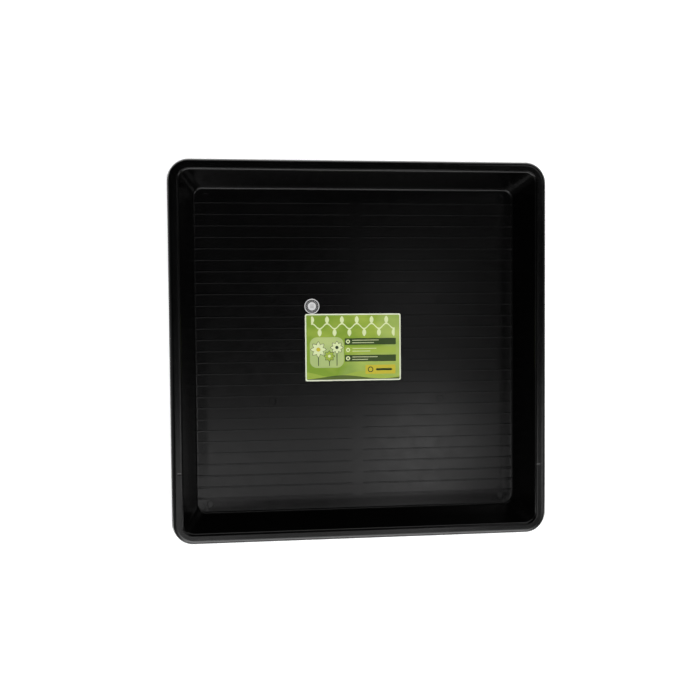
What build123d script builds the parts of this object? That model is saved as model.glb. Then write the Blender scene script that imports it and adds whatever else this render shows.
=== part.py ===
from build123d import *

import os
from math import cos, radians, tan

# Potting soil tray: a shallow square bowl in one thin moulding, with a rolled rim, a ribbed
# floor on pressed feet, and a printed label and a round seal stuck on the floor's ribs.
# X and Y run along the sides, Z up. The origin is under the middle of the tray, on the
# surface that the feet stand on. Lengths are in millimetres, angles in degrees.

# Whole moulding
tray_length = 600.0
tray_width = 600.0
tray_height = 70.0
skin_thickness = 2.5

# Side walls and the bowl inside them
wall_draft = 15.7
wall_corner_radius = 15.0
floor_fillet_radius = 5.5

# Shallow gutter along the walls, where the floor slopes down from its raised middle
gutter_width = 24.9
gutter_slope_width = 19.0
gutter_depth = 0.7

# Rim: a flat land that rolls over outwards into a skirt
rim_reach = 18.4
rim_edge_radius = 5.0
rim_root_radius = 2.0
roll_radius = 8.0
skirt_depth = 15.0
skirt_draft = 4.0
skirt_corner_radius = 33.0
skirt_edge_radius = 0.8

# Ribs across the floor, in two columns with a plain strip between them
rib_pitch = 18.4
rib_width = 2.4
rib_height = 0.8
rib_draft = 35.0
plain_strip_width = 19.0
rib_wall_clearance = 20.0

# Feet pressed down from the floor, each a dimple inside and a boss beneath
foot_depth = 1.2
foot_diameter = 12.0
foot_draft = 45.0
inner_foot_reach = 139.0
inner_foot_row = 4.5
corner_foot_clearance = 21.5

# Label on the floor
label_length = 158.0
label_width = 110.0
label_thickness = 0.4
label_corner_radius = 3.0
label_centre_x = -6.3
label_centre_y = 4.0

# Round seal above the label's left corner
seal_diameter = 24.4
seal_thickness = 0.4
seal_gap = 0.3
seal_overhang = 0.6

# Heights and places that follow. An inset is measured in from the foot of the skirt.
draft_slope = tan(radians(wall_draft))
wall_span = skin_thickness / cos(radians(wall_draft))
floor_top = foot_depth + skin_thickness
crest_top = floor_top + rib_height
skirt_foot = tray_height - skirt_depth
floor_inset = rim_reach + (tray_height - floor_top) * draft_slope
floor_half_length = tray_length / 2 - floor_inset
floor_half_width = tray_width / 2 - floor_inset
middle_half_length = floor_half_length - gutter_width
middle_half_width = floor_half_width - gutter_width
ribs_each_side = int((floor_half_width - rib_wall_clearance) / rib_pitch)


def level_faces(body):
    """The flat level faces of a body, from the lowest to the highest."""
    return body.faces().filter_by(Axis.Z).sort_by(Axis.Z)


def drafted_block(inset, corner_radius, rise, draft, top_radius):
    """A block that narrows upwards by its draft, with rounded corners and a rounded top edge."""
    outline = Rectangle(tray_length - 2 * inset, tray_width - 2 * inset)
    block = extrude(outline, rise, taper=draft)
    corner_edges = block.edges().filter_by(Axis.X, reverse=True).filter_by(Axis.Y, reverse=True)
    block = fillet(corner_edges, corner_radius)
    return fillet(level_faces(block)[-1].edges(), top_radius)


def bowl_block(inset, floor_height, offset):
    """The bowl as a solid, from a floor height up to the rim, grown by an offset from its inside."""
    block = drafted_block(
        inset,
        wall_corner_radius + offset,
        tray_height - floor_height,
        wall_draft,
        floor_fillet_radius + offset,
    )
    return Pos(0, 0, tray_height) * Rot(180, 0, 0) * block


def rim_block(depth_in):
    """The rolled rim as a solid cap, drawn in by a depth on its sides and its top."""
    block = drafted_block(
        depth_in,
        skirt_corner_radius - depth_in,
        skirt_depth - depth_in,
        skirt_draft,
        roll_radius - depth_in,
    )
    return Pos(0, 0, skirt_foot) * block


def raised_middle(top):
    """The low block with sloping sides by which the floor's middle stands over the gutter."""
    foot = Rectangle(
        2 * (middle_half_length + gutter_slope_width), 2 * (middle_half_width + gutter_slope_width)
    )
    crown = Rectangle(2 * middle_half_length, 2 * middle_half_width)
    return loft([Pos(0, 0, top - gutter_depth) * foot, Pos(0, 0, top) * crown], ruled=True)


def rimmed_shell():
    """Bowl and rolled rim in one skin, before the floor gets its raised middle, feet and ribs."""
    bowl_outside = bowl_block(rim_reach - wall_span, foot_depth - gutter_depth, skin_thickness)
    bowl_inside = bowl_block(rim_reach, floor_top - gutter_depth, 0)
    body = rim_block(0) - rim_block(skin_thickness) + bowl_outside
    rim_root = level_faces(body)[-2].inner_wires()[0]
    body = fillet(rim_root.edges(), rim_root_radius)
    skirt_edge = level_faces(body)[1]
    body = fillet(skirt_edge.edges(), skirt_edge_radius) - bowl_inside
    opening_edge = level_faces(body)[-1].inner_wires()[0]
    return fillet(opening_edge.edges(), rim_edge_radius)


def foot_places():
    """Centres of the feet: four nearer the middle and four at the corners, between two ribs."""
    inner_y = inner_foot_row * rib_pitch
    corner_x = floor_half_length - corner_foot_clearance
    corner_y = (ribs_each_side + 1 / 2) * rib_pitch
    return [
        Pos(side_x * x, side_y * y, 0)
        for x, y in ((inner_foot_reach, inner_y), (corner_x, corner_y))
        for side_x in (-1, 1)
        for side_y in (-1, 1)
    ]


def with_feet(body):
    """The body with each foot pressed down: a boss beneath the floor and a dimple inside."""
    foot_radius = foot_diameter / 2
    foot_slope = foot_depth * tan(radians(foot_draft))
    on_base = (Align.CENTER, Align.CENTER, Align.MIN)
    boss = Cone(foot_radius, foot_radius + foot_slope, foot_depth, align=on_base)
    dimple = Cone(foot_radius - foot_slope, foot_radius, foot_depth, align=on_base)
    bosses = [place * boss for place in foot_places()]
    dimples = [place * Pos(0, 0, skin_thickness) * dimple for place in foot_places()]
    return body + bosses - dimples


def floor_ribs():
    """Low ribs with sloping sides, each from the plain strip out into the side wall's fillet."""
    start = plain_strip_width / 2
    middle = (start + floor_half_length) / 2
    foot_spread = 2 * gutter_depth * tan(radians(rib_draft))
    foot = Rectangle(floor_half_length - start + foot_spread, rib_width + foot_spread)
    rib = extrude(foot, rib_height + gutter_depth, taper=rib_draft)
    return [
        Pos(side * middle, row * rib_pitch, floor_top - gutter_depth) * rib
        for side in (-1, 1)
        for row in range(-ribs_each_side, ribs_each_side + 1)
    ]


def make_tray():
    """The whole moulding: shell, raised middle of the floor, feet and ribs."""
    shell = rimmed_shell() + raised_middle(floor_top) - raised_middle(foot_depth)
    return with_feet(shell) + floor_ribs()


def make_label():
    """A thin rectangular label with rounded corners, lying on the crests of the ribs."""
    outline = RectangleRounded(label_length, label_width, label_corner_radius)
    return Pos(label_centre_x, label_centre_y, crest_top) * extrude(outline, label_thickness)


def make_seal():
    """A round seal on the crest of a rib, just clear of the label's upper edge."""
    seal_radius = seal_diameter / 2
    centre_x = label_centre_x - label_length / 2 + seal_radius - seal_overhang
    centre_y = label_centre_y + label_width / 2 + seal_gap + seal_radius
    return Pos(centre_x, centre_y, crest_top) * extrude(Circle(seal_radius), seal_thickness)


pieces = {
    "tray": make_tray(),
    "product_label": make_label(),
    "round_seal": make_seal(),
}

os.makedirs("parts", exist_ok=True)
for name, piece in pieces.items():
    export_step(piece, f"parts/{name}.step")
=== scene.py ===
"""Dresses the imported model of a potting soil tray: the moulded shell, the printed label, the
round seal, and a plain studio with the photograph's camera. Lengths are in metres."""

from math import cos, pi, radians, tan

import bmesh
import bpy
from bpy.props import FloatProperty, FloatVectorProperty, IntProperty, PointerProperty
from mathutils import Matrix, Vector


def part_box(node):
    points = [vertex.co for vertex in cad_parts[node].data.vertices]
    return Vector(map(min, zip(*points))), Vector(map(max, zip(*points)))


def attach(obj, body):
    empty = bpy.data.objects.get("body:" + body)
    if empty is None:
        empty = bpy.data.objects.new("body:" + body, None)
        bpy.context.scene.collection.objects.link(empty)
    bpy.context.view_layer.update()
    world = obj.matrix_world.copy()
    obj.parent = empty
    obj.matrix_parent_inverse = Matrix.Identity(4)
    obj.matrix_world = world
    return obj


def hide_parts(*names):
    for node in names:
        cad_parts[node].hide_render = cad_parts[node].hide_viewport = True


bl_info = {
    "name": "Potting Soil Tray",
    "version": (1, 0, 0),
    "blender": (4, 5, 0),
    "location": "3D View > Sidebar > Tray",
    "description": "Moulds the tray's shell, sticks on its label and seal, and sets up the studio",
    "category": "Object",
}

BODY = "root"
PHOTO_WIDTH = 700

# How close two places are when they count as one, and how much of a face's normal points up when
# the face counts as mostly level, nearly level and level
NEAR = 1e-6
MOSTLY_LEVEL = 0.9
NEARLY_LEVEL = 0.99
LEVEL = 0.9999

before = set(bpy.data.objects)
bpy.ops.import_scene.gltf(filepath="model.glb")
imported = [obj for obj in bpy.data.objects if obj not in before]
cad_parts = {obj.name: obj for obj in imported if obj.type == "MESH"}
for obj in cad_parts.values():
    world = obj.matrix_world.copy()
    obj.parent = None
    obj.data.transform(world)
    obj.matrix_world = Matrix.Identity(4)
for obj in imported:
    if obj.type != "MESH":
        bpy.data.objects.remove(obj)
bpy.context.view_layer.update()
TRAY_LOW, TRAY_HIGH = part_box("tray")
LABEL_LOW, LABEL_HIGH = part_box("product_label")
SEAL_LOW, SEAL_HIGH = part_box("round_seal")


def length(name, description, default):
    """A property that holds a length in metres."""
    return FloatProperty(
        name=name, description=description, default=default, unit="LENGTH", precision=5
    )


def angle(name, description, degrees):
    """A property that holds an angle."""
    return FloatProperty(
        name=name, description=description, default=radians(degrees), subtype="ANGLE"
    )


def amount(name, description, default):
    """A property that holds a plain number."""
    return FloatProperty(name=name, description=description, default=default, precision=4)


def colour(name, description, default):
    """A property that holds a colour, in linear light."""
    return FloatVectorProperty(
        name=name, description=description, default=default, subtype="COLOR", size=3, min=0.0, max=1.0
    )


class TrayShellSizes(bpy.types.PropertyGroup):
    """Sizes and finish of the moulded shell."""

    skin: length("Skin", "Thickness of the moulding everywhere", 0.0025)
    rim_reach: length("Rim reach", "From the foot of the skirt in to the bowl's opening", 0.0184)
    wall_draft: angle("Wall draft", "Slope of the side walls", 15.7)
    skirt_draft: angle("Skirt draft", "Slope of the skirt round the rim", 4.0)
    skirt_depth: length("Skirt depth", "From the rim's top down to the skirt's edge", 0.015)
    skirt_corner: length("Skirt corner", "Radius of the skirt's corners, seen from above", 0.033)
    roll_radius: length("Roll radius", "Radius of the rim's roll into the skirt", 0.008)
    opening_radius: length("Opening radius", "Radius of the edge between rim and side wall", 0.005)
    floor_radius: length("Floor radius", "Radius of the fillet between side wall and floor", 0.0035)
    skirt_edge: length("Skirt edge", "Rounding of the skirt's lower edge", 0.0008)
    gutter_width: length("Gutter width", "From the wall's line in to the raised middle of the floor", 0.019)
    gutter_depth: length("Gutter depth", "How far the floor sinks along the walls", 0.001)
    gutter_blend: length("Gutter blend", "Half the width of the rounding along the raised middle", 0.004)
    foot_depth: length("Foot depth", "How far each foot is pressed down", 0.0012)
    foot_diameter: length("Foot diameter", "Diameter of each foot where it stands", 0.012)
    inner_foot_reach: length("Inner foot reach", "From the middle to the inner feet along the ribs", 0.139)
    inner_foot_row: amount("Inner foot row", "Row of the inner feet, in rib pitches", 4.5)
    corner_foot_clearance: length("Corner foot clearance", "From a corner foot to the wall's line", 0.0215)
    rib_pitch: length("Rib pitch", "From one rib to the next", 0.0184)
    rib_width: length("Rib width", "Width of a rib where it leaves the floor", 0.0024)
    rib_height: length("Rib height", "Height of a rib over the floor", 0.0008)
    rib_draft: angle("Rib draft", "Slope of a rib's sides", 35.0)
    rib_crest: length("Rib crest", "Rounding along a rib's crest", 0.00006)
    ribs_each_side: IntProperty(
        name="Ribs each side", description="Rows on each side of the middle row", default=13
    )
    plain_strip: length("Plain strip", "Width of the plain strip between the two columns of ribs", 0.019)
    nick_place: length("Nick place", "From the middle back to the nick in each side rim", 0.187)
    nick_length: length("Nick length", "Length of a nick across the rim's land", 0.008)
    nick_width: length("Nick width", "Width of a nick where it opens", 0.0034)
    nick_depth: length("Nick depth", "Depth of a nick", 0.0008)
    plastic: colour("Plastic", "Colour of the black plastic", (0.0012, 0.0012, 0.00125))
    plastic_roughness: amount("Plastic roughness", "Roughness of the moulded surface", 0.22)


class LabelSizes(bpy.types.PropertyGroup):
    """Sizes and colours of the product label."""

    film: length("Film", "Thickness of the label's film", 0.00022)
    corner: length("Corner", "Radius of the label's corners", 0.003)
    sag: length("Sag", "How far the film sinks between two ribs", 0.00012)
    border: length("Border", "Width of the white border", 0.0021)
    white: colour("White", "Paper white of the border", (0.900, 0.950, 0.720))
    lime: colour("Lime", "Main green of the print", (0.230, 0.390, 0.004))
    pale_lime: colour("Pale lime", "Lighter green of the print", (0.400, 0.540, 0.040))
    deep_green: colour("Deep green", "Darkest green of the print", (0.012, 0.040, 0.004))
    cream: colour("Cream", "Palest tone of the print", (0.820, 0.920, 0.480))
    yellow: colour("Yellow", "Warm yellow of the small panel", (0.640, 0.540, 0.008))


class SealSizes(bpy.types.PropertyGroup):
    """Sizes and colours of the round seal."""

    film: length("Film", "Thickness of the seal's film", 0.0002)
    sag: length("Sag", "How far the film sinks beside a rib", 0.0001)
    silver: colour("Silver", "Colour of the outer ring and the middle", (0.740, 0.745, 0.750))
    grey: colour("Grey", "Colour of the ring between them", (0.020, 0.021, 0.022))


class StudioSizes(bpy.types.PropertyGroup):
    """Camera and light levels of the studio."""

    camera_place: FloatVectorProperty(
        name="Camera place",
        description="Where the camera stands",
        default=(-0.1926, 0.0616, 1.5151),
        subtype="XYZ",
    )
    yaw: angle("Yaw", "Turn of the camera about the picture's upright axis", 6.83)
    pitch: angle("Pitch", "Turn of the camera about the picture's level axis", 2.34)
    roll: angle("Roll", "Turn of the camera about its own line of sight", 0.44)
    focal_pixels: amount("Focal length in pixels", "Focal length, for a picture 700 pixels wide", 927.4)
    wash: amount("Wash", "Radiance of the overhead light, which only lights matt surfaces", 2.6)
    key: amount("Key", "Radiance of the small card nearly overhead", 1.85)
    key_fill: amount("Key fill", "Radiance of the card to the left of the key", 0.72)
    key_foot: amount("Key foot", "Radiance of the card between the key and the near side", 0.4)
    rim_card: amount("Rim card", "Radiance of the card that the left rim shows low down", 1.0)
    strip_card: amount("Strip card", "Radiance of the card that the right half of the floor shows", 0.33)
    front_card: amount("Front card", "Radiance of the strip low over the outside of the near rim", 2.0)
    window_top: amount("Window top", "Radiance of the wide card above the window", 1.2)
    window: amount("Window", "Radiance of the wide card before the near side", 2.3)
    left_softbox: amount("Left softbox", "Radiance of the card high before the near left corner", 3.2)
    corner_card: amount("Corner card", "Radiance of the card high on the right", 2.2)
    back_card: amount("Back card", "Radiance of the card high beyond the far right corner", 1.2)
    left_card: amount("Left card", "Radiance of the card before the near left corner", 0.25)
    left_edge_card: amount("Left edge card", "Radiance of the card that the left rim's land shows", 0.9)
    right_edge_card: amount("Right edge card", "Radiance of the card that the right rim's land shows", 1.0)
    left_window: amount("Left window", "Radiance of the wide card on the left", 0.35)
    right_window: amount("Right window", "Radiance of the wide card on the right", 0.35)
    far_wall: amount("Far wall", "Radiance of the low wall beyond the far side", 1.0)
    near_wall: amount("Near wall", "Radiance of the low wall before the near side", 0.2)
    left_wall: amount("Left wall", "Radiance of the low wall on the left", 0.1)
    right_wall: amount("Right wall", "Radiance of the low wall on the right", 0.1)
    near_table: amount("Near table", "Radiance that the rim reflects of the table before the near side", 5.5)
    far_table: amount("Far table", "Radiance that the rim reflects of the table beyond the far side", 3.0)
    left_table: amount("Left table", "Radiance that the rim reflects of the table on the left", 1.0)
    right_table: amount("Right table", "Radiance that the rim reflects of the table on the right", 1.0)


def start_piece(name):
    """Takes the primitive that was just added as the start of a named piece, at the origin."""
    bpy.ops.object.transform_apply(location=True, rotation=True, scale=True)
    piece = bpy.context.object
    piece.name = name
    piece.data.name = name
    return piece


def clear_selection():
    """Leaves object mode with nothing selected, so that the next primitive is selected alone."""
    if bpy.context.object and bpy.context.object.mode != "OBJECT":
        bpy.ops.object.mode_set(mode="OBJECT")
    bpy.ops.object.select_all(action="DESELECT")


def add_box(name, low, high):
    """A block between two corners."""
    clear_selection()
    middle = (Vector(low) + Vector(high)) / 2
    bpy.ops.mesh.primitive_cube_add(size=1, location=middle, scale=Vector(high) - Vector(low))
    return start_piece(name)


def edit(piece, kind):
    """Enters edit mode on one piece with nothing selected, in vertex, edge or face mode."""
    if bpy.context.object is not piece or piece.mode != "EDIT":
        clear_selection()
        piece.select_set(True)
        bpy.context.view_layer.objects.active = piece
        bpy.ops.object.mode_set(mode="EDIT")
    bpy.ops.mesh.select_mode(type=kind)
    bpy.ops.mesh.select_all(action="DESELECT")
    return bmesh.from_edit_mesh(piece.data)


def pick_faces(piece, test):
    """Selects the faces that pass a test of their centre and normal."""
    mesh = edit(piece, "FACE")
    for face in mesh.faces:
        face.select_set(test(face.calc_center_median(), face.normal))
    bmesh.update_edit_mesh(piece.data)


def pick_edges(piece, test):
    """Selects the edges that pass a test of their two ends."""
    mesh = edit(piece, "EDGE")
    for edge in mesh.edges:
        edge.select_set(test(edge.verts[0].co, edge.verts[1].co))
    bmesh.update_edit_mesh(piece.data)


def level_at(height, reach=None):
    """A test for edges that lie level at a height, no further than a reach from the middle."""

    def test(start, end):
        level = abs(start.z - height) < NEAR and abs(end.z - height) < NEAR
        return level and (reach is None or max(map(abs, (*start.xy, *end.xy))) < reach + NEAR)

    return test


def apply_modifier(piece, kind, **settings):
    """Adds a modifier to a piece and applies it."""
    clear_selection()
    piece.select_set(True)
    bpy.context.view_layer.objects.active = piece
    modifier = piece.modifiers.new(kind.title(), kind)
    for name, value in settings.items():
        setattr(modifier, name, value)
    bpy.ops.object.modifier_apply(modifier=modifier.name)


def join(pieces):
    """Makes several pieces one."""
    clear_selection()
    for piece in pieces:
        piece.select_set(True)
    bpy.context.view_layer.objects.active = pieces[0]
    bpy.ops.object.join()
    return pieces[0]


def bend_run(radius, turn):
    """How far back from an edge its rounding starts, where the surface turns by an angle."""
    return radius * tan(turn / 2)


def cut_or_add(piece, tool, operation):
    """Adds a tool's solid to a piece, or cuts it away, and removes the tool."""
    apply_modifier(piece, "BOOLEAN", object=tool, operation=operation, solver="EXACT")
    bpy.data.objects.remove(tool)


def smooth(piece, degrees):
    """Shades a piece smooth but for its sharp edges, with flat faces left flat."""
    clear_selection()
    piece.select_set(True)
    bpy.context.view_layer.objects.active = piece
    bpy.ops.object.shade_smooth_by_angle(angle=radians(degrees))
    apply_modifier(piece, "WEIGHTED_NORMAL", keep_sharp=True, weight=100)


def dress(piece, material, slot, *nodes):
    """Gives a finished piece its material and its body, and hides the nodes that it replaces. The slot is
    not used.
    """
    piece.data.materials.clear()
    piece.data.materials.append(material)
    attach(piece, BODY)
    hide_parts(*nodes)


class Finish:
    """One material's nodes, with short ways to add and join them. Patterns are in metres."""

    def __init__(self, name):
        self.material = bpy.data.materials.new(name)
        self.material.use_nodes = True
        self.tree = self.material.node_tree
        self.shader = self.tree.nodes["Principled BSDF"]
        self.place = self.add("ShaderNodeTexCoord").outputs["Object"]

    def add(self, kind, **settings):
        """Adds a node with its settings."""
        node = self.tree.nodes.new(kind)
        for name, value in settings.items():
            setattr(node, name, value)
        return node

    def feed(self, socket, value):
        """Joins a socket to another node's output, or sets its own value."""
        if isinstance(value, bpy.types.NodeSocket):
            self.tree.links.new(value, socket)
        else:
            socket.default_value = value

    def math(self, operation, *values):
        """The result of one sum on sockets and numbers."""
        node = self.add("ShaderNodeMath", operation=operation)
        for socket, value in zip(node.inputs, values):
            self.feed(socket, value)
        return node.outputs[0]

    def axes(self, centre):
        """Level coordinates about a centre."""
        mapping = self.add("ShaderNodeMapping", vector_type="TEXTURE")
        self.feed(mapping.inputs["Vector"], self.place)
        mapping.inputs["Location"].default_value = (*centre, 0.0)
        parts = self.add("ShaderNodeSeparateXYZ")
        self.feed(parts.inputs[0], mapping.outputs[0])
        return parts.outputs[0], parts.outputs[1]

    def away(self, x, y):
        """Distance of a place from the middle of its axes."""
        squares = [self.math("MULTIPLY", value, value) for value in (x, y)]
        return self.math("SQRT", self.math("ADD", *squares))

    def within(self, value, low, high):
        """1 where a value lies between two bounds, 0 elsewhere."""
        over = self.math("GREATER_THAN", value, low)
        under = self.math("LESS_THAN", value, high)
        return self.math("MULTIPLY", over, under)

    def ring(self, centre, inner, outer):
        """1 between two radii, 0 elsewhere."""
        return self.within(self.away(*self.axes(centre)), inner, outer)

    def disc(self, centre, radius):
        """1 inside a radius, 0 elsewhere."""
        return self.math("LESS_THAN", self.away(*self.axes(centre)), radius)

    def panel(self, centre, size, corner):
        """1 inside a rectangle with rounded corners, 0 outside."""
        past = []
        for across, side in zip(self.axes(centre), size):
            beyond = self.math("SUBTRACT", self.math("ABSOLUTE", across), side / 2 - corner)
            past.append(self.math("MAXIMUM", beyond, 0.0))
        return self.math("LESS_THAN", self.away(*past), corner)

    def leaf(self, axes, reach, width):
        """1 inside a leaf that grows along the first axis from the middle of its axes, 0 outside."""
        x, y = axes
        bulge = (reach**2 - width**2) / (4 * width)
        along = self.math("SUBTRACT", x, reach / 2)
        halves = []
        for side in (-1, 1):
            aside = self.math("ADD", y, side * bulge)
            halves.append(self.math("LESS_THAN", self.away(along, aside), bulge + width / 2))
        return self.math("MULTIPLY", *halves)

    def noise(self, scale, detail, stretch=(1.0, 1.0, 1.0)):
        """Soft noise from 0 to 1, with a scale in lumps a metre."""
        mapping = self.add("ShaderNodeMapping", vector_type="POINT")
        self.feed(mapping.inputs["Vector"], self.place)
        mapping.inputs["Scale"].default_value = stretch
        node = self.add("ShaderNodeTexNoise")
        self.feed(node.inputs["Vector"], mapping.outputs[0])
        node.inputs["Scale"].default_value = scale
        node.inputs["Detail"].default_value = detail
        return node.outputs[0]

    def spread(self, value, low, high, start, end):
        """A value's range from a start to an end, spread from a low to a high bound and kept there."""
        node = self.add("ShaderNodeMapRange")
        self.feed(node.inputs["Value"], value)
        self.feed(node.inputs["From Min"], start)
        self.feed(node.inputs["From Max"], end)
        self.feed(node.inputs["To Min"], low)
        self.feed(node.inputs["To Max"], high)
        return node.outputs[0]

    def paint(self, below, above, mask):
        """A colour laid over another where a mask says."""
        node = self.add("ShaderNodeMix", data_type="RGBA")
        self.feed(node.inputs["Factor"], mask)
        colour_sockets = [socket for socket in node.inputs if socket.type == "RGBA"]
        for socket, tone in zip(colour_sockets, (below, above)):
            self.feed(socket, tone if isinstance(tone, bpy.types.NodeSocket) else (*tone, 1.0))
        return next(socket for socket in node.outputs if socket.type == "RGBA")

    def glaze(self, below, above, mask, strength):
        """A colour laid thinly over another where a mask says."""
        return self.paint(below, above, self.math("MULTIPLY", mask, strength))

    def bump(self, *layers):
        """Stacks bumps, each a height from 0 to 1 and its size in metres, on the shader's normal."""
        normal = None
        for height, size in layers:
            node = self.add("ShaderNodeBump")
            self.feed(node.inputs["Height"], height)
            node.inputs["Distance"].default_value = size
            if normal is not None:
                self.feed(node.inputs["Normal"], normal)
            normal = node.outputs[0]
        self.feed(self.shader.inputs["Normal"], normal)

    def set(self, **values):
        """Sets the shader's own sockets, named with underscores for blanks."""
        for name, value in values.items():
            self.feed(self.shader.inputs[name.replace("_", " ")], value)


def black_plastic(sizes):
    """Satin black moulded plastic: a slight cloudiness, a fine grain and a very slight warp."""
    finish = Finish("black_plastic")
    cloud = finish.noise(9.0, detail=4.0)
    speckle = finish.noise(60.0, detail=6.0)
    warp = finish.noise(4.0, detail=1.0)
    grain = finish.noise(900.0, detail=2.0)
    warp_height = 0.0003
    grain_height = 0.000003
    swing = 0.02
    dark = tuple(0.75 * part for part in sizes.plastic)
    pale = tuple(1.3 * part for part in sizes.plastic)
    finish.set(
        Base_Color=finish.paint(dark, pale, finish.spread(cloud, 0.0, 1.0, 0.3, 0.7)),
        Roughness=finish.spread(
            speckle, sizes.plastic_roughness - swing, sizes.plastic_roughness + swing, 0.3, 0.7
        ),
        IOR=1.5,
    )
    finish.bump((warp, warp_height), (grain, grain_height))
    return finish.material


class TRAY_OT_mould_shell(bpy.types.Operator):
    """Moulds the shell: bowl, rolled rim, ribs and pressed feet in one skin"""

    bl_idname = "tray.mould_shell"
    bl_label = "Mould Shell"

    def execute(self, context):
        sizes = context.scene.tray_shell
        shell = self.rim_and_bowl(sizes)
        self.raise_middle(shell, sizes)
        self.thicken(shell, sizes)
        self.nick_rim(shell, sizes)
        self.press_feet(shell, sizes)
        self.add_ribs(shell, sizes)
        # The nicks' edges turn by about 25 degrees, and stay sharp
        smooth(shell, degrees=24.0)
        dress(shell, black_plastic(sizes), "black_plastic", "tray")
        return {"FINISHED"}

    def rim_and_bowl(self, sizes):
        """The upper side of the skin, from the skirt's edge over the rim and down to the floor."""
        top = TRAY_HIGH.z
        half = Vector((TRAY_HIGH.x, TRAY_HIGH.y))
        foot = top - sizes.skirt_depth
        shell = add_box("tray_shell", (-half.x, -half.y, foot), (half.x, half.y, top))
        drawn_in = sizes.skirt_depth * tan(sizes.skirt_draft)
        pick_faces(shell, lambda centre, normal: normal.z > MOSTLY_LEVEL)
        bpy.ops.transform.resize(
            value=(1 - drawn_in / half.x, 1 - drawn_in / half.y, 1), center_override=(0, 0, top)
        )
        pick_edges(shell, lambda start, end: abs(start.z - end.z) > sizes.skirt_depth / 2)
        bpy.ops.mesh.bevel(offset=sizes.skirt_corner, segments=14)
        pick_faces(shell, lambda centre, normal: normal.z < -MOSTLY_LEVEL)
        bpy.ops.mesh.delete(type="FACE")
        pick_edges(shell, level_at(top))
        roll_run = bend_run(sizes.roll_radius, pi / 2 - sizes.skirt_draft)
        bpy.ops.mesh.bevel(offset=roll_run, segments=9)
        pick_faces(shell, lambda centre, normal: normal.z > LEVEL)
        bpy.ops.mesh.inset(thickness=sizes.rim_reach - drawn_in - roll_run)
        drop = top - sizes.foot_depth - sizes.skin + sizes.gutter_depth
        wall_inset = drop * tan(sizes.wall_draft)
        opening = half - Vector((sizes.rim_reach, sizes.rim_reach))
        bpy.ops.mesh.extrude_region_move(TRANSFORM_OT_translate={"value": (0, 0, -drop)})
        bpy.ops.transform.resize(
            value=(1 - wall_inset / opening.x, 1 - wall_inset / opening.y, 1), center_override=(0, 0, 0)
        )
        wall_turn = pi / 2 - sizes.wall_draft
        pick_edges(shell, level_at(top, reach=opening.x))
        bpy.ops.mesh.bevel(offset=bend_run(sizes.opening_radius, wall_turn), segments=8)
        pick_edges(shell, level_at(top - drop))
        bpy.ops.mesh.bevel(offset=bend_run(sizes.floor_radius, wall_turn), segments=8)
        return shell

    def wall_line(self, sizes):
        """Half the bowl's width where the slopes of the side walls meet the floor's level."""
        drop = TRAY_HIGH.z - sizes.foot_depth - sizes.skin
        return TRAY_HIGH.x - sizes.rim_reach - drop * tan(sizes.wall_draft)

    def raise_middle(self, shell, sizes):
        """Raises the floor's square middle, which leaves a shallow gutter along the walls."""
        floor = sizes.foot_depth + sizes.skin
        edge = self.wall_line(sizes) - sizes.gutter_width

        def on_floor(centre, normal):
            return normal.z > LEVEL and centre.z < floor

        def in_middle(centre, normal):
            return on_floor(centre, normal) and centre.xy.length < NEAR

        def in_corner(centre, normal):
            beyond = min(abs(centre.x), abs(centre.y)) > edge
            return normal.z > NEARLY_LEVEL and centre.z < floor and beyond

        for side in (-1, 1):
            for along in (Vector((1, 0, 0)), Vector((0, 1, 0))):
                pick_faces(shell, on_floor)
                bpy.ops.mesh.bisect(plane_co=side * edge * along, plane_no=along)
        pick_faces(shell, in_middle)
        bpy.ops.transform.translate(value=(0, 0, sizes.gutter_depth))
        pick_edges(shell, level_at(floor, reach=edge))
        bpy.ops.mesh.bevel(offset=sizes.gutter_blend, segments=4)
        pick_faces(shell, in_corner)
        bpy.ops.mesh.quads_convert_to_tris(quad_method="BEAUTY", ngon_method="BEAUTY")

    def thicken(self, shell, sizes):
        """Gives the skin its thickness on the underside, and rounds the skirt's lower edge."""
        apply_modifier(
            shell,
            "SOLIDIFY",
            thickness=sizes.skin,
            offset=-1,
            use_even_offset=True,
            use_quality_normals=True,
        )
        pick_edges(shell, level_at(TRAY_HIGH.z - sizes.skirt_depth))
        bpy.ops.mesh.bevel(offset=sizes.skirt_edge, segments=4)
        clear_selection()

    def nick_rim(self, shell, sizes):
        """Cuts a short nick with sloping sides across the inner half of each side rim."""
        opening_run = bend_run(sizes.opening_radius, pi / 2 - sizes.wall_draft)
        shoulder = TRAY_HIGH.x - sizes.rim_reach + opening_run
        flatness = 2 * sizes.nick_depth / sizes.nick_width
        tools = []
        for side in (-1, 1):
            place = (side * shoulder, -sizes.nick_place, TRAY_HIGH.z)
            clear_selection()
            bpy.ops.mesh.primitive_cylinder_add(
                vertices=4,
                radius=sizes.nick_width / 2,
                depth=sizes.nick_length,
                location=place,
                rotation=(0, pi / 2, 0),
            )
            nick = start_piece("rim_nick")
            edit(nick, "VERT")
            bpy.ops.mesh.select_all(action="SELECT")
            bpy.ops.transform.resize(value=(1, 1, flatness), center_override=place)
            tools.append(nick)
        cut_or_add(shell, join(tools), "DIFFERENCE")

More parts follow.
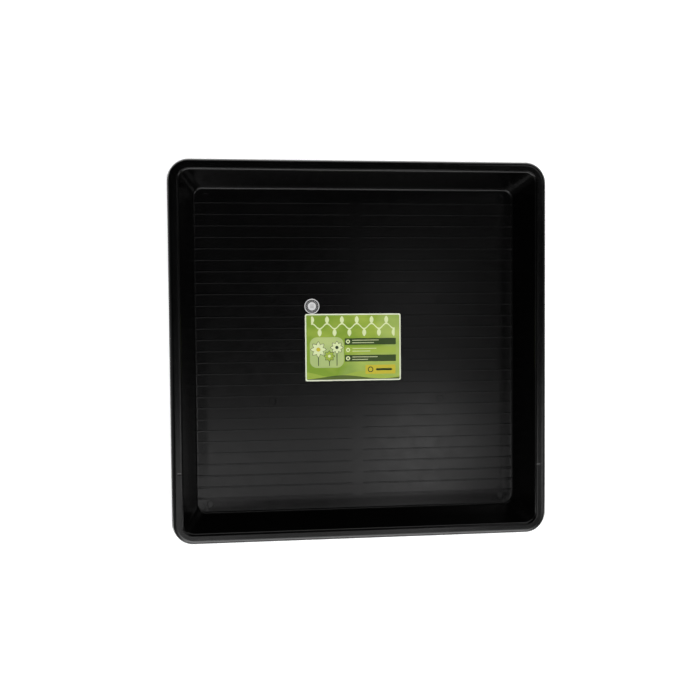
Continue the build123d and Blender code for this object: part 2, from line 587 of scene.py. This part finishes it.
    def press_feet(self, shell, sizes):
        """Presses each foot down: a boss beneath the floor and a dimple inside."""
        radius = sizes.foot_diameter / 2
        inner_y = sizes.inner_foot_row * sizes.rib_pitch
        corner_x = self.wall_line(sizes) - sizes.corner_foot_clearance
        corner_y = (sizes.ribs_each_side + 0.5) * sizes.rib_pitch
        overrun = sizes.skin / 4
        for name, bottom, low_radius, rise, operation in (
            ("foot_boss", 0.0, radius, sizes.foot_depth + overrun, "UNION"),
            (
                "foot_dimple",
                sizes.skin,
                radius - sizes.foot_depth,
                sizes.foot_depth + overrun,
                "DIFFERENCE",
            ),
        ):
            tools = []
            for x, y in ((sizes.inner_foot_reach, inner_y), (corner_x, corner_y)):
                for side_x in (-1, 1):
                    for side_y in (-1, 1):
                        clear_selection()
                        bpy.ops.mesh.primitive_cone_add(
                            vertices=48,
                            radius1=low_radius,
                            radius2=low_radius + rise,
                            depth=rise,
                            location=(side_x * x, side_y * y, bottom + rise / 2),
                        )
                        tools.append(start_piece(name))
            cut_or_add(shell, join(tools), operation)

    def add_ribs(self, shell, sizes):
        """Adds the low ribs with sloping sides, from the plain strip out into the wall's fillet."""
        floor = sizes.foot_depth + sizes.skin
        start = sizes.plain_strip / 2
        end = self.wall_line(sizes)
        below = sizes.skin / 4 + sizes.gutter_depth
        spread = below * tan(sizes.rib_draft)
        lean = (sizes.rib_height + below) * tan(sizes.rib_draft)
        tools = []
        for side in (-1, 1):
            for row in range(-sizes.ribs_each_side, sizes.ribs_each_side + 1):
                middle = row * sizes.rib_pitch
                half = sizes.rib_width / 2 + spread
                ends = sorted((side * (start - spread), side * (end + spread)))
                rib = add_box(
                    "rib",
                    (ends[0], middle - half, floor - below),
                    (ends[1], middle + half, floor + sizes.rib_height),
                )
                pick_faces(rib, lambda centre, normal: normal.z > MOSTLY_LEVEL)
                long_half = (ends[1] - ends[0]) / 2
                bpy.ops.transform.resize(
                    value=(1 - lean / long_half, 1 - lean / half, 1),
                    center_override=((ends[0] + ends[1]) / 2, middle, 0),
                )
                pick_edges(rib, level_at(floor + sizes.rib_height))
                bpy.ops.mesh.bevel(offset=sizes.rib_crest, segments=2)
                tools.append(rib)
        cut_or_add(shell, join(tools), "UNION")


def lay_over_ribs(piece, sag, pitch, steps):
    """Cuts a flat piece into rows and lets each row sink by how far it lies from a rib's crest."""
    ys = [vertex.co.y for vertex in piece.data.vertices]
    first = int(min(ys) / pitch * steps) - 1
    last = int(max(ys) / pitch * steps) + 1
    places = [row * pitch / steps for row in range(first, last + 1)]
    for place in places:
        edit(piece, "VERT")
        bpy.ops.mesh.select_all(action="SELECT")
        bpy.ops.mesh.bisect(plane_co=(0, place, 0), plane_no=(0, 1, 0))
    for place in places:
        mesh = edit(piece, "VERT")
        for vertex in mesh.verts:
            vertex.select_set(abs(vertex.co.y - place) < NEAR)
        bmesh.update_edit_mesh(piece.data)
        drop = sag * (1 - cos(2 * pi * place / pitch)) / 2
        if any(vertex.select for vertex in mesh.verts):
            bpy.ops.transform.translate(value=(0, 0, -drop))
    clear_selection()


def label_print(sizes):
    """A generic print: lime ground, vine, flowers on a pale panel, bars, hills, yellow panel."""
    finish = Finish("printed_label")
    middle = (LABEL_LOW + LABEL_HIGH) / 2
    wide, high = (LABEL_HIGH - LABEL_LOW).xy

    def spot(across, up):
        """A place on the label, as shares of its width and height from the middle."""
        return middle.x + across * wide, middle.y + up * high

    x, y = finish.axes(middle.xy)
    slope = finish.math("ADD", finish.math("DIVIDE", x, wide), finish.math("DIVIDE", y, 3 * high))
    wisp = finish.noise(16.0, detail=2.0, stretch=(1.0, 1.8, 1.0))
    tone = finish.math("ADD", slope, finish.spread(wisp, -0.9, 0.9, 0.35, 0.65))
    ink = finish.paint(sizes.lime, sizes.pale_lime, finish.spread(tone, 0.0, 1.0, -0.5, 1.1))
    fade = 0.012
    for centre, radius, strength in (
        (spot(0.28, -0.62), 0.075, 0.10),
        (spot(0.52, 0.30), 0.048, 0.14),
    ):
        away = finish.away(*finish.axes(centre))
        sweep = finish.spread(away, strength, 0.0, radius - fade, radius)
        ink = finish.glaze(ink, sizes.cream, finish.disc(centre, radius), sweep)
    ink = hills(finish, ink, sizes, (x, y), high)
    ink = vine(finish, ink, sizes, spot)
    ink = flower_bed(finish, ink, sizes, spot(-0.275, -0.075))
    ink = bars(finish, ink, sizes, spot)
    ink = yellow_panel(finish, ink, sizes, spot(0.285, -0.335))
    inner_size = (wide - 2 * sizes.border, high - 2 * sizes.border)
    inside = finish.panel(middle.xy, inner_size, sizes.corner - sizes.border / 2)
    ink = finish.paint(sizes.white, ink, inside)
    finish.set(Base_Color=ink, Roughness=0.35, IOR=1.5, Specular_IOR_Level=0.3)
    return finish.material


def hills(finish, ink, sizes, axes, high):
    """Two low hills along the label's lower edge."""
    x, y = axes
    cover = 0.75
    for tone, level, swell, wave, shift in (
        (sizes.pale_lime, 0.100, 0.0045, 62.0, 0.6),
        (sizes.deep_green, 0.055, 0.0030, 48.0, 2.4),
    ):
        phase = finish.math("ADD", finish.math("MULTIPLY", x, wave), shift)
        top = finish.math("MULTIPLY", finish.math("SINE", phase), swell)
        below = finish.math("LESS_THAN", finish.math("SUBTRACT", y, top), (level - 0.5) * high)
        ink = finish.glaze(ink, tone, below, cover)
    return ink


def vine(finish, ink, sizes, spot):
    """A pale wavy vine across the label's upper third, with a leaf at each bend."""
    pitch = 0.0245
    swing = 0.0042
    stroke = 0.0026
    leaf_reach = 0.0125
    leaf_width = 0.0066
    half_run = 0.0690
    x, y = finish.axes(spot(0.0, 0.315))
    phase = finish.math("MULTIPLY", x, 2 * pi / pitch)
    wave = finish.math("MULTIPLY", finish.math("SINE", phase), swing)
    line = finish.within(finish.math("SUBTRACT", y, wave), -stroke / 2, stroke / 2)
    leaves = []
    for side in (-1, 1):
        shifted = finish.math("ADD", x, side * pitch / 4)
        along = finish.math("WRAP", shifted, pitch / 2, -pitch / 2)
        up = finish.math("MULTIPLY", finish.math("ADD", y, side * swing), -side)
        leaves.append(finish.leaf((up, along), leaf_reach, leaf_width))
    pattern = finish.math("MAXIMUM", line, finish.math("MAXIMUM", *leaves))
    return finish.glaze(ink, sizes.cream, pattern, finish.within(x, -half_run, half_run))


def flower_bed(finish, ink, sizes, centre):
    """Three plain flowers in a row on a pale panel with rounded corners."""
    x, y = centre
    size = (0.0560, 0.0500)
    corner = 0.0120
    cover = 0.42
    stem_foot = 0.0030
    ground = y - size[1] / 2 + stem_foot
    stem_width = 0.0013
    stem_corner = 0.0006
    outline = 0.0009
    heart_share = 0.27
    ink = finish.glaze(ink, sizes.cream, finish.panel(centre, size, corner), cover)
    for across, up, petals, reach, width, heart in (
        (-0.0140, 0.0050, sizes.cream, 0.0125, 0.0058, sizes.yellow),
        (0.0040, -0.0060, sizes.pale_lime, 0.0085, 0.0042, sizes.cream),
        (0.0165, 0.0080, sizes.cream, 0.0100, 0.0048, sizes.deep_green),
    ):
        middle = (x + across, y + up)
        stem = (middle[0], (middle[1] + ground) / 2)
        stem_size = (stem_width, middle[1] - ground)
        backing = flower_head(finish, middle, reach + outline, width + outline)
        ink = finish.paint(ink, sizes.deep_green, finish.panel(stem, stem_size, stem_corner))
        ink = finish.paint(ink, sizes.deep_green, backing)
        ink = finish.paint(ink, petals, flower_head(finish, middle, reach, width))
        ink = finish.paint(ink, heart, finish.disc(middle, heart_share * reach))
    return ink


def flower_head(finish, centre, reach, width):
    """1 on eight petals round a centre, 0 elsewhere."""
    x, y = finish.axes(centre)
    step = pi / 4
    turn = finish.math("WRAP", finish.math("ARCTAN2", y, x), step / 2, -step / 2)
    away = finish.away(x, y)
    along = finish.math("MULTIPLY", away, finish.math("COSINE", turn))
    aside = finish.math("MULTIPLY", away, finish.math("SINE", turn))
    return finish.leaf((along, aside), reach, width)


def bars(finish, ink, sizes, spot):
    """Three plain bars on the right, each with a pale ring and two pale rules."""
    bar_size = (0.0850, 0.0108)
    bar_corner = 0.0010
    bar_step = 0.125
    ring_inset = 0.0370
    ring_inner = 0.0016
    ring_outer = 0.0034
    rule_start = 0.0070
    rule_rise = 0.0021
    rule_height = 0.0011
    rule_corner = 0.0004
    rule_cover = 0.8
    for row, (tone, strength, widths) in enumerate(
        (
            (sizes.deep_green, 0.92, (0.044, 0.036)),
            (sizes.pale_lime, 0.75, (0.040, 0.030)),
            (sizes.deep_green, 0.92, (0.042, 0.026)),
        )
    ):
        x, y = spot(0.180, 0.085 - bar_step * row)
        ink = finish.glaze(ink, tone, finish.panel((x, y), bar_size, bar_corner), strength)
        left = x - ring_inset
        ink = finish.paint(ink, sizes.cream, finish.ring((left, y), ring_inner, ring_outer))
        for side, width in zip((1, -1), widths):
            middle = (left + rule_start + width / 2, y + side * rule_rise)
            rule = finish.panel(middle, (width, rule_height), rule_corner)
            ink = finish.glaze(ink, sizes.cream, rule, rule_cover)
    return ink


def yellow_panel(finish, ink, sizes, centre):
    """A small yellow panel with a dark ring at its left and a dark bar with round ends beside it."""
    x, y = centre
    panel_size = (0.0500, 0.0150)
    panel_corner = 0.0010
    ring_inset = 0.0165
    ring_inner = 0.0032
    ring_outer = 0.0046
    bar_size = (0.0270, 0.0034)
    bar_shift = 0.0060
    ring = finish.ring((x - ring_inset, y), ring_inner, ring_outer)
    bar = finish.panel((x + bar_shift, y), bar_size, bar_size[1] / 2)
    ink = finish.paint(ink, sizes.yellow, finish.panel(centre, panel_size, panel_corner))
    ink = finish.paint(ink, sizes.deep_green, ring)
    return finish.paint(ink, sizes.deep_green, bar)


class TRAY_OT_stick_label(bpy.types.Operator):
    """Sticks the printed label over the ribs near the middle of the floor"""

    bl_idname = "tray.stick_label"
    bl_label = "Stick Label"

    def execute(self, context):
        sizes = context.scene.tray_label
        shell = context.scene.tray_shell
        clear_selection()
        middle = (LABEL_LOW + LABEL_HIGH) / 2
        size = LABEL_HIGH - LABEL_LOW
        bpy.ops.mesh.primitive_plane_add(size=1, location=(middle.x, middle.y, LABEL_LOW.z))
        bpy.ops.transform.resize(value=(size.x, size.y, 1))
        label = start_piece("printed_label")
        edit(label, "VERT")
        bpy.ops.mesh.select_all(action="SELECT")
        bpy.ops.mesh.bevel(offset=sizes.corner, segments=6, affect="VERTICES")
        lay_over_ribs(label, sizes.sag, shell.rib_pitch, steps=8)
        apply_modifier(label, "SOLIDIFY", thickness=sizes.film, offset=1)
        smooth(label, degrees=32.0)
        dress(label, label_print(sizes), "printed_label", "product_label")
        return {"FINISHED"}


def seal_print(sizes):
    """Plain rings: silver outside, dark with small even marks, and silver with three rules inside."""
    finish = Finish("silver_seal")
    middle = (SEAL_LOW + SEAL_HIGH) / 2
    radius = (SEAL_HIGH.x - SEAL_LOW.x) / 2
    mark_count = 20
    rule_size = (0.5 * radius, 0.07 * radius)
    rule_corner = 0.03 * radius
    x, y = finish.axes(middle.xy)
    turns = finish.math("DIVIDE", finish.math("ARCTAN2", y, x), 2 * pi)
    beat = finish.math("FRACT", finish.math("MULTIPLY", turns, mark_count))
    mark_ring = finish.ring(middle.xy, 0.64 * radius, 0.78 * radius)
    marks = finish.math("MULTIPLY", mark_ring, finish.within(beat, 0.25, 0.75))
    grey_ring = finish.ring(middle.xy, 0.56 * radius, 0.89 * radius)
    tone = finish.paint(sizes.silver, sizes.grey, grey_ring)
    tone = finish.glaze(tone, sizes.silver, marks, 0.45)
    for up in (-0.18, 0.0, 0.18):
        rule = finish.panel((middle.x, middle.y + up * radius), rule_size, rule_corner)
        tone = finish.glaze(tone, sizes.grey, rule, 0.5)
    finish.set(Base_Color=tone, Roughness=0.35, IOR=1.5)
    return finish.material


class TRAY_OT_stick_seal(bpy.types.Operator):
    """Sticks the round seal just above the label's left corner"""

    bl_idname = "tray.stick_seal"
    bl_label = "Stick Seal"

    def execute(self, context):
        sizes = context.scene.tray_seal
        shell = context.scene.tray_shell
        clear_selection()
        middle = (SEAL_LOW + SEAL_HIGH) / 2
        bpy.ops.mesh.primitive_circle_add(
            vertices=72,
            radius=(SEAL_HIGH.x - SEAL_LOW.x) / 2,
            fill_type="NGON",
            location=(middle.x, middle.y, SEAL_LOW.z),
        )
        seal = start_piece("round_seal_print")
        lay_over_ribs(seal, sizes.sag, shell.rib_pitch, steps=8)
        apply_modifier(seal, "SOLIDIFY", thickness=sizes.film, offset=1)
        smooth(seal, degrees=32.0)
        dress(seal, seal_print(sizes), "silver_seal", "round_seal")
        return {"FINISHED"}


def add_light(name, radiance, size, place, target, matt, glossy):
    """A rectangular light of an even radiance that faces a target and that the camera doesn't see.

    Blender's energy for such a light is four times its area for each unit of radiance."""
    width, height = size
    data = bpy.data.lights.new(name, "AREA")
    data.shape = "RECTANGLE"
    data.size = width
    data.size_y = height
    data.energy = 4 * width * height * radiance
    light = bpy.data.objects.new(name, data)
    bpy.context.scene.collection.objects.link(light)
    light.location = place
    light.rotation_euler = (Vector(target) - Vector(place)).to_track_quat("-Z", "Y").to_euler()
    light.visible_camera = False
    light.visible_diffuse = matt
    light.visible_glossy = glossy


def add_card(sizes, name, size, place, target):
    """A light that only glossy surfaces show, as bright as the studio's property of its name says."""
    add_light(name, getattr(sizes, name), size, place, target, matt=False, glossy=True)


class TRAY_OT_set_stage(bpy.types.Operator):
    """Sets up the pale floor, the soft lights and the photograph's camera"""

    bl_idname = "tray.set_stage"
    bl_label = "Set Stage"

    def execute(self, context):
        sizes = context.scene.tray_studio
        self.floor()
        self.lights(sizes)
        self.backdrop()
        self.camera(sizes)
        return {"FINISHED"}

    def floor(self):
        """A wide pale sweep under the feet."""
        clear_selection()
        bpy.ops.mesh.primitive_plane_add(size=30, location=(0, 0, 0))
        floor = start_piece("studio_floor")
        finish = Finish("studio_floor")
        finish.set(
            Base_Color=(0.9, 0.9, 0.9, 1.0),
            Roughness=0.9,
            Emission_Color=(1.0, 1.0, 1.0, 1.0),
            Emission_Strength=0.6,
        )
        floor.data.materials.append(finish.material)
        floor.visible_glossy = False

    def lights(self, sizes):
        """An overhead wash for the matt colours, and cards that only the gloss shows."""
        middle = Vector((0, 0, 0))
        up = Vector((0, 0, 1))
        overhead = Vector((0.0, 0.0, 3.0))
        add_light("wash", sizes.wash, (3.0, 3.0), overhead, middle, matt=True, glossy=False)
        for name, size, place in (
            ("key", (0.45, 0.45), (0.68, -0.62, 2.86)),
            ("key_fill", (0.55, 0.45), (0.125, -0.68, 2.92)),
            ("rim_card", (0.47, 0.45), (-0.38, -0.72, 2.89)),
            ("strip_card", (0.40, 0.45), (0.62, 0.09, 2.93)),
            ("key_foot", (0.45, 0.85), (0.57, -1.20, 2.69)),
            ("window_top", (2.40, 0.70), (0.0, -2.25, 1.98)),
            ("left_softbox", (0.75, 0.45), (-0.74, -1.37, 2.57)),
            ("corner_card", (0.60, 0.60), (1.80, -0.62, 2.31)),
            ("back_card", (1.30, 0.50), (1.45, 1.23, 2.32)),
            ("left_card", (1.90, 0.85), (-1.62, -1.62, 1.93)),
            ("window", (3.60, 0.60), (0.0, -2.58, 1.53)),
            ("left_edge_card", (0.30, 0.60), (-0.86, -0.92, 2.72)),
            ("right_edge_card", (0.35, 0.70), (1.62, -0.78, 2.55)),
            ("left_window", (2.60, 0.60), (-2.33, -1.09, 1.53)),
            ("right_window", (2.60, 0.60), (2.33, -1.09, 1.53)),
            ("far_wall", (6.00, 0.85), (0.0, 2.97, 0.42)),
            ("near_wall", (6.00, 0.85), (0.0, -2.97, 0.42)),
            ("left_wall", (5.00, 0.85), (-2.97, 0.0, 0.42)),
            ("right_wall", (5.00, 0.85), (2.97, 0.0, 0.42)),
        ):
            add_card(sizes, name, size, place, middle)
        strip = Vector((0.0, -0.37, 0.14))
        strip_size = (0.66, 0.10)
        add_card(sizes, "front_card", strip_size, strip, strip - up)
        clearance = 0.002
        near = TRAY_HIGH.y + clearance
        far = 1.60
        width = 1.40
        lift = 0.003
        for name, along in (
            ("near_table", Vector((0, -1, 0))),
            ("far_table", Vector((0, 1, 0))),
            ("left_table", Vector((-1, 0, 0))),
            ("right_table", Vector((1, 0, 0))),
        ):
            place = (near + far) / 2 * along + lift * up
            size = [width if part == 0 else far - near for part in along.xy]
            add_card(sizes, name, size, place, place + up)

    def backdrop(self):
        """A plain white background that lights nothing."""
        world = bpy.data.worlds.new("studio_world")
        bpy.context.scene.world = world
        world.use_nodes = True
        background = world.node_tree.nodes["Background"]
        background.inputs["Color"].default_value = (1.0, 1.0, 1.0, 1.0)
        background.inputs["Strength"].default_value = 1.0
        world.cycles_visibility.glossy = False
        world.cycles_visibility.diffuse = False
        bpy.context.scene.view_settings.view_transform = "Standard"

    def camera(self, sizes):
        """The photograph's camera, which looks down into the tray from above its left half."""
        data = bpy.data.cameras.new("photo_camera")
        camera = bpy.data.objects.new("photo_camera", data)
        bpy.context.scene.collection.objects.link(camera)
        data.sensor_width = 36.0
        data.lens = data.sensor_width * sizes.focal_pixels / PHOTO_WIDTH
        turn = (
            Matrix.Rotation(sizes.roll, 3, "Z")
            @ Matrix.Rotation(sizes.pitch, 3, "X")
            @ Matrix.Rotation(sizes.yaw, 3, "Y")
        )
        camera.matrix_world = Matrix.Translation(sizes.camera_place) @ turn.transposed().to_4x4()
        bpy.context.scene.camera = camera


class TRAY_PT_sidebar(bpy.types.Panel):
    """Lists the sizes and the steps that build the tray"""

    bl_label = "Potting Soil Tray"
    bl_space_type = "VIEW_3D"
    bl_region_type = "UI"
    bl_category = "Tray"

    def draw(self, context):
        scene = context.scene
        for group, step in (
            (scene.tray_shell, TRAY_OT_mould_shell),
            (scene.tray_label, TRAY_OT_stick_label),
            (scene.tray_seal, TRAY_OT_stick_seal),
            (scene.tray_studio, TRAY_OT_set_stage),
        ):
            box = self.layout.box()
            for name in group.bl_rna.properties.keys():
                if name not in ("rna_type", "name"):
                    box.prop(group, name)
            box.operator(step.bl_idname)


GROUPS = {
    "tray_shell": TrayShellSizes,
    "tray_label": LabelSizes,
    "tray_seal": SealSizes,
    "tray_studio": StudioSizes,
}
TOOLS = (TRAY_OT_mould_shell, TRAY_OT_stick_label, TRAY_OT_stick_seal, TRAY_OT_set_stage, TRAY_PT_sidebar)


def register():
    """Registers the properties, the operators and the panel."""
    for name, group in GROUPS.items():
        bpy.utils.register_class(group)
        setattr(bpy.types.Scene, name, PointerProperty(type=group))
    for tool in TOOLS:
        bpy.utils.register_class(tool)


def unregister():
    """Takes them out again, in the opposite order."""
    for tool in reversed(TOOLS):
        bpy.utils.unregister_class(tool)
    for name, group in reversed(GROUPS.items()):
        delattr(bpy.types.Scene, name)
        bpy.utils.unregister_class(group)


def main():
    """Builds the dressed tray."""
    register()
    bpy.ops.tray.mould_shell()
    bpy.ops.tray.stick_label()
    bpy.ops.tray.stick_seal()
    bpy.ops.tray.set_stage()


if __name__ == "__main__":
    main()
